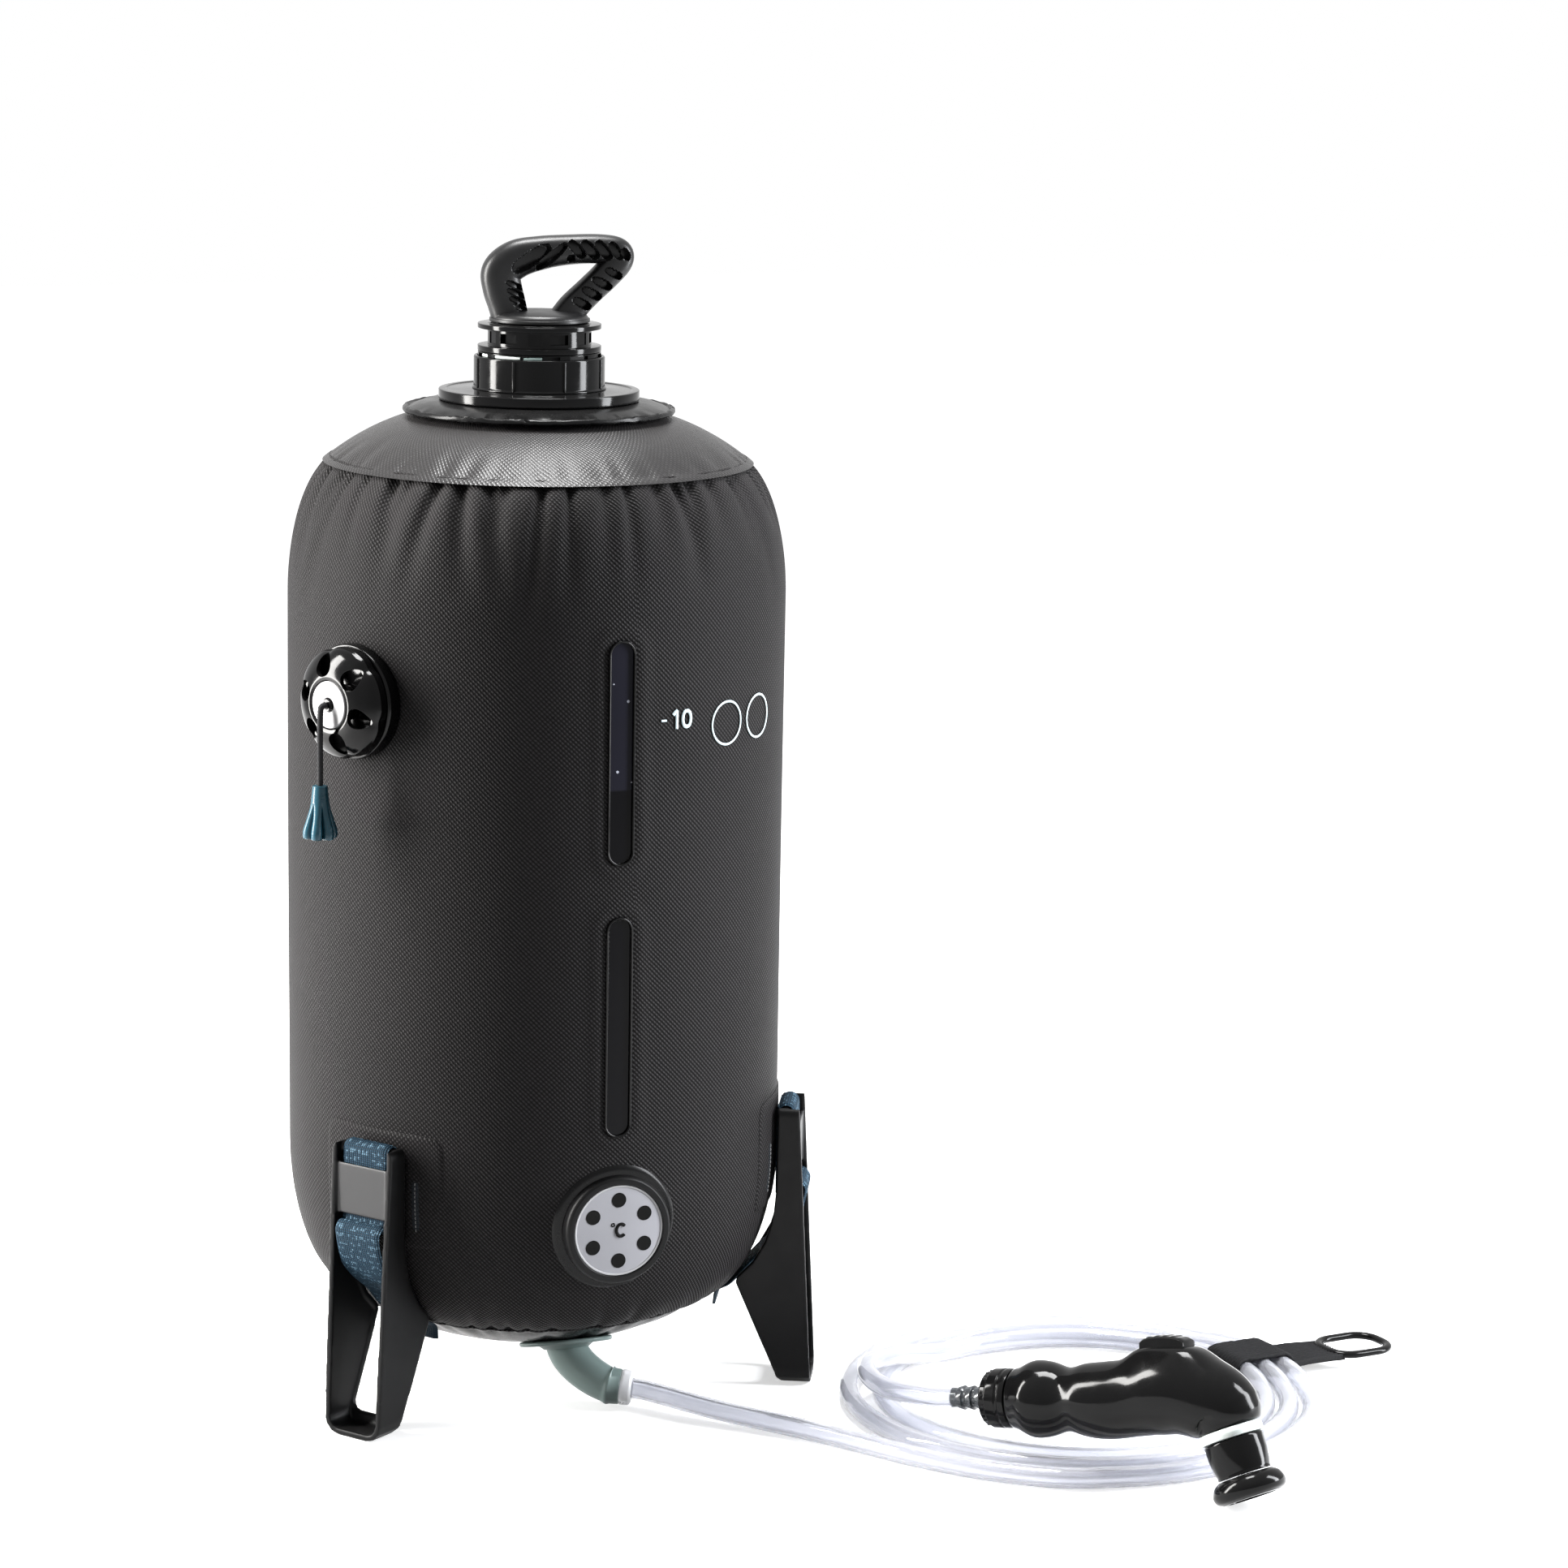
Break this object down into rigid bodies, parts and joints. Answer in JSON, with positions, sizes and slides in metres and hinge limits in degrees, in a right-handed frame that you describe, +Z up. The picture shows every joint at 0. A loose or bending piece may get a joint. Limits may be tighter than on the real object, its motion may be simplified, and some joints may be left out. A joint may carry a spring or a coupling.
{
  "type": "camp shower bag",
  "caption": "Standing fabric camp shower with a hand pump on top, vent valve, level windows, folding legs and a coiled hose with a push-button spray handset.",
  "frame": {"origin": "on the floor under the middle of the shower and its handset, measured without the hose", "axes": "+Z up along the bag's axis, -Y the front with the level windows, +X the side where the hose and handset lie"},
  "size_m": [0.5024, 0.4415, 0.5181],
  "materials": {
    "charcoal_cloth": "coated twill, dark charcoal",
    "black_panel": "smooth coated, semi-gloss",
    "liner_film": "grey film",
    "black_gloss": "gloss black",
    "black_satin": "satin black",
    "teal_plastic": "satin grey-teal",
    "pale_plastic": "satin pale grey",
    "silver_dial": "satin silver",
    "blue_plastic": "satin petrol blue",
    "blue_webbing": "woven webbing, navy",
    "black_rubber": "soft black",
    "spring_steel": "bright",
    "clear_hose": "clear, glossy",
    "hook_and_loop": "black pile"
  },
  "bodies": {
    "bag": {"anchor_patch_1": "black_panel", "anchor_patch_2": "black_panel", "anchor_patch_3": "black_panel", "bottom_panel": "black_panel", "button_spring": "spring_steel", "filler_neck": "black_gloss", "handset_body": "black_gloss", "head_band": "pale_plastic", "head_sleeve": "black_gloss", "hose_barb": "clear_hose", "hose_coil": "clear_hose", "hose_collar": "pale_plastic", "hose_lead": "clear_hose", "hose_tail": "clear_hose", "hose_tie": "hook_and_loop", "inlet_collar": "black_gloss", "leg_webbing_1": "blue_webbing", "leg_webbing_2": "blue_webbing", "leg_webbing_3": "blue_webbing", "lower_window": "clear_hose", "lower_window_frame": "black_gloss", "neck_gasket": "black_rubber", "outlet_elbow": "teal_plastic", "side_panel": "charcoal_cloth", "thermometer_bezel": "black_satin", "thermometer_dial": "silver_dial", "thermometer_patch": "black_panel", "tie_ring": "black_gloss", "top_panel": "charcoal_cloth", "upper_window": "clear_hose", "upper_window_frame": "black_gloss", "valve_boss": "black_gloss", "valve_cap": "black_gloss", "valve_insert": "pale_plastic", "vent_spring": "spring_steel", "water_liner": "liner_film", "welded_ring": "black_panel"},
    "pump_unit": {"pump_head": "black_gloss", "seal_ring": "pale_plastic", "cage_ring": "black_gloss", "pump_barrel": "pale_plastic", "barrel_foot": "black_gloss"},
    "screw_collar": {"screw_collar": "black_gloss"},
    "check_flap": {"check_flap": "black_rubber"},
    "piston": {"piston": "black_gloss", "piston_ring": "black_rubber"},
    "plunger": {"pump_handle": "black_satin", "plunger_rod": "spring_steel"},
    "vent_stem": {"vent_stem": "black_gloss"},
    "pull_toggle": {"pull_cord": "black_rubber", "pull_toggle": "blue_plastic"},
    "leg_1": {"leg_1": "black_satin"},
    "leg_2": {"leg_2": "black_satin"},
    "leg_3": {"leg_3": "black_satin"},
    "thumb_button": {"thumb_button": "black_gloss", "valve_pin": "spring_steel"},
    "spray_knob": {"spray_knob": "black_gloss", "spray_plate": "black_satin"}
  },
  "joints": [
    {"name": "pump_lift", "type": "slide", "parent": "bag", "child": "pump_unit", "axis": [0, 0, 1], "range_m": [0, 0.215]},
    {"name": "collar_turn", "type": "hinge", "parent": "pump_unit", "child": "screw_collar", "pos_m": [-0.0455, 0.0913, 0.4505], "axis": [0, 0, 1], "range_deg": [0, 540]},
    {"name": "check_valve", "type": "slide", "parent": "pump_unit", "child": "check_flap", "axis": [0, 0, -1], "range_m": [0, 0.0015], "stiffness_N_per_m": 20, "springref_m": -0.003},
    {"name": "plunger_stroke", "type": "slide", "parent": "pump_unit", "child": "piston", "axis": [0, 0, 1], "range_m": [0, 0.14]},
    {"name": "handle_twist", "type": "hinge", "parent": "piston", "child": "plunger", "pos_m": [-0.0455, 0.0913, 0.4798], "axis": [0, 0, 1], "range_deg": [0, 90]},
    {"name": "vent_pull", "type": "slide", "parent": "bag", "child": "vent_stem", "axis": [-0.9205, -0.3907, 0], "range_m": [0, 0.004], "stiffness_N_per_m": 400, "springref_m": -0.003, "deforming": ["vent_spring"]},
    {"name": "toggle_swing", "type": "hinge", "parent": "vent_stem", "child": "pull_toggle", "pos_m": [-0.14722, 0.04812, 0.3232], "axis": [-0.9205, -0.3907, 0], "range_deg": [-45, 45]},
    {"name": "leg_1_splay", "type": "hinge", "parent": "bag", "child": "leg_1", "pos_m": [-0.14617, 0.03318, 0.1273], "axis": [-0.5, 0.866, 0], "range_deg": [0, 10]},
    {"name": "leg_2_splay", "type": "hinge", "parent": "bag", "child": "leg_2", "pos_m": [0.05518, 0.03318, 0.1273], "axis": [-0.5, -0.866, 0], "range_deg": [0, 5]},
    {"name": "leg_3_splay", "type": "hinge", "parent": "bag", "child": "leg_3", "pos_m": [-0.0455, 0.20755, 0.1273], "axis": [1, 0, 0], "range_deg": [0, 10]},
    {"name": "button_press", "type": "slide", "parent": "bag", "child": "thumb_button", "axis": [-0.0659, -0.2406, -0.9684], "range_m": [0, 0.0025], "stiffness_N_per_m": 600, "springref_m": -0.003, "deforming": ["button_spring"]},
    {"name": "spray_turn", "type": "hinge", "parent": "bag", "child": "spray_knob", "pos_m": [0.15751, -0.20347, 0.01531], "axis": [0.119, -0.4852, -0.8663], "range_deg": [0, 180]}
  ]
}
